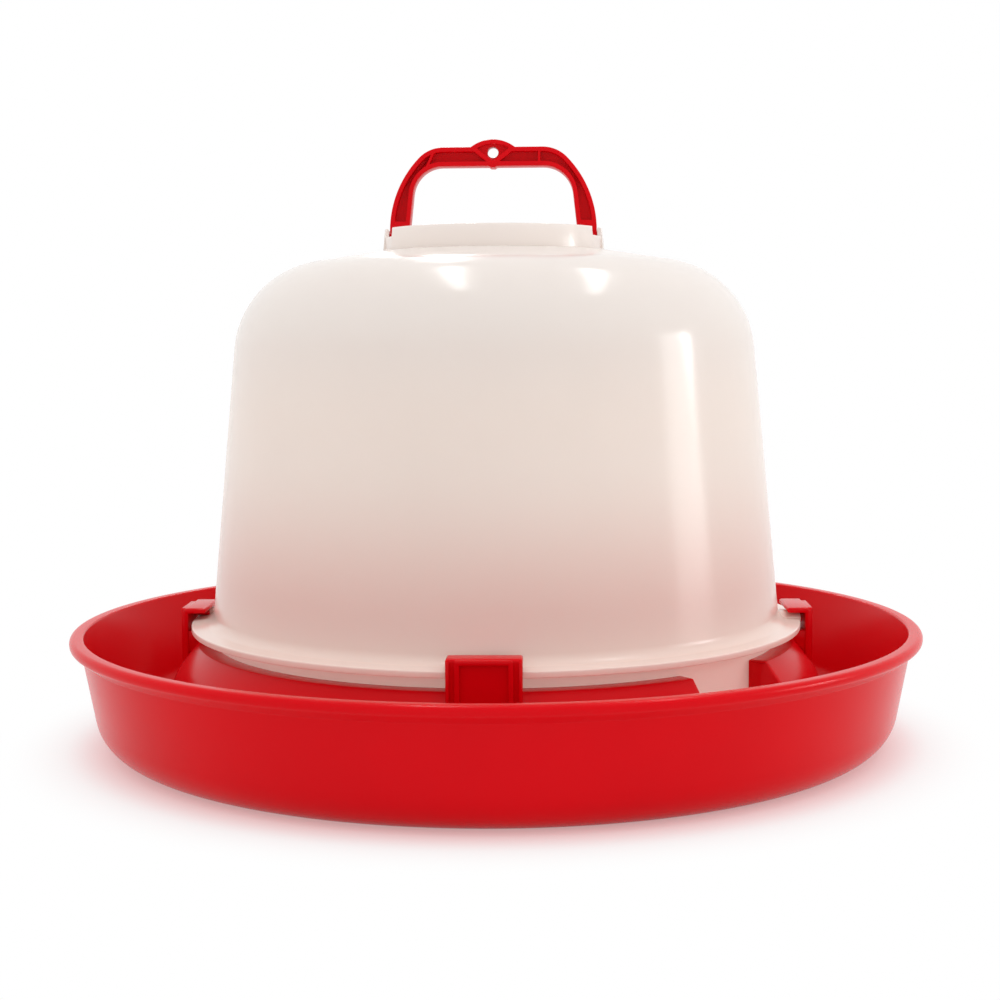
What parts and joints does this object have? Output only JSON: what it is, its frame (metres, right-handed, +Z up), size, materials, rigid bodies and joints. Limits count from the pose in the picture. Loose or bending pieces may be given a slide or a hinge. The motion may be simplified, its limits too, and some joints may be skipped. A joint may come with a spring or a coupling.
{
  "type": "poultry drinker",
  "caption": "Gravity poultry drinker: a milky bell-shaped reservoir locked into a round red trough by hooked lugs, with a folding carrying handle that has a hanging eye.",
  "frame": {"origin": "centre of the round base, on the surface that the drinker stands on", "axes": "+Z up along the axis of tray and reservoir, +X along the handle's pivot axis, -Y towards the front of the picture"},
  "size_m": [0.4, 0.4, 0.2815],
  "materials": {
    "red_moulding": "smooth gloss, red",
    "milky_moulding": "smooth satin, milky translucent white",
    "red_handle_moulding": "smooth gloss, red"
  },
  "bodies": {
    "tray": {"tray": "red_moulding"},
    "reservoir": {"reservoir": "milky_moulding"},
    "handle": {"handle": "red_handle_moulding"}
  },
  "joints": [
    {"name": "reservoir_lock", "type": "hinge", "parent": "tray", "child": "reservoir", "pos_m": [0, 0, 0.0547], "axis": [0, 0, 1], "range_deg": [-25, 0]},
    {"name": "handle_fold", "type": "hinge", "parent": "reservoir", "child": "handle", "pos_m": [0, 0, 0.2366], "axis": [1, 0, 0], "range_deg": [-64, 64]}
  ]
}
